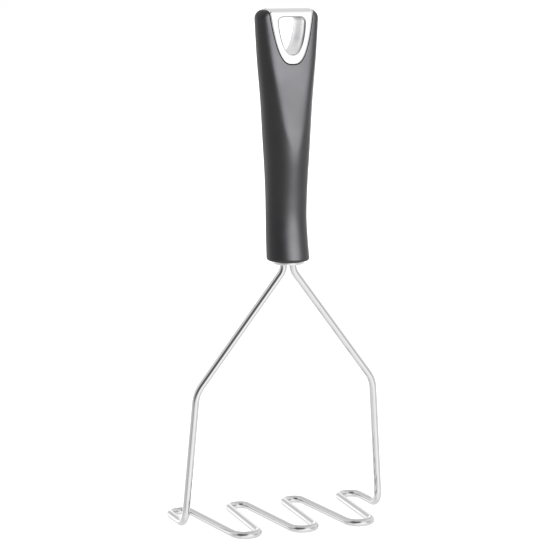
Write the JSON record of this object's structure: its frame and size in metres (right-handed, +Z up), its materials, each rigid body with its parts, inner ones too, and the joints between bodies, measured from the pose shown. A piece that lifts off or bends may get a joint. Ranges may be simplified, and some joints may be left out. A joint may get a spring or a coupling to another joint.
{
  "type": "hand masher",
  "caption": "Hand masher with a zigzag wire foot, two legs, sloping shoulders, a tapered soft grip and a polished end cap with a hang hole.",
  "frame": {"origin": "on the surface the foot rests on, under the middle of the foot", "axes": "+Z up along the handle; +X to the right across the foot's width; +Y to the rear across its depth"},
  "size_m": [0.1176, 0.063, 0.2728],
  "materials": {
    "wire": "bright polished",
    "ferrule": "satin",
    "core": "moulded",
    "grip": "soft-touch satin",
    "cap": "bright polished"
  },
  "bodies": {
    "root": {"wire_frame": "wire", "ferrule": "ferrule", "handle_core": "core", "handle_grip": "grip", "end_cap": "cap"}
  },
  "joints": []
}
